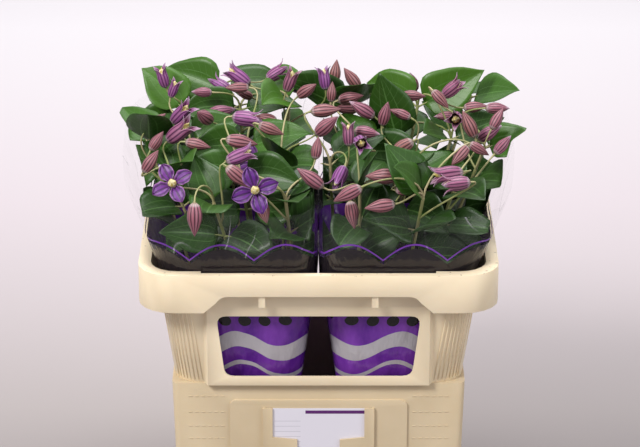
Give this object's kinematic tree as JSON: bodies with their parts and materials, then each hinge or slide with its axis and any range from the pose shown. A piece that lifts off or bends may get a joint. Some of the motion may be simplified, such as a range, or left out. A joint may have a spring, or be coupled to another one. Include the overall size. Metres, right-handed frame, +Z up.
{
  "type": "cut clematis in flower container",
  "caption": "Two film-wrapped bunches of cut clematis with nodding violet buds, standing in water in a cream stacking container with a windowed collar.",
  "frame": {"origin": "middle of the container's underside, on the surface it stands on", "axes": "+Z up, -Y to the front with the card, +X to the right seen from the front"},
  "size_m": [0.4963, 0.3795, 0.584],
  "materials": {
    "container_plastic": "satin",
    "card": "matt",
    "water": "clear",
    "film": "clear",
    "band": "matt",
    "foliage": "satin",
    "petal": "satin"
  },
  "bodies": {
    "root": {"container": "container_plastic", "collar": "container_plastic", "card": "card", "water": "water", "sleeve_left": "film", "sleeve_right": "film", "band_left": "band", "band_right": "band", "clematis_left_01": "foliage", "clematis_left_02": "foliage", "clematis_left_03": "foliage", "clematis_left_04": "foliage", "clematis_left_05": "foliage", "clematis_left_06": "foliage", "clematis_left_07": "foliage", "clematis_left_08": "foliage", "clematis_left_09": "foliage", "clematis_left_10": "foliage", "clematis_left_11": "foliage", "clematis_left_12": "foliage", "clematis_right_01": "foliage", "clematis_right_02": "foliage", "clematis_right_03": "foliage", "clematis_right_04": "foliage", "clematis_right_05": "foliage", "clematis_right_06": "foliage", "clematis_right_07": "foliage", "clematis_right_08": "foliage", "clematis_right_09": "foliage", "clematis_right_10": "foliage", "clematis_right_11": "foliage", "clematis_right_12": "foliage"}
  },
  "joints": []
}
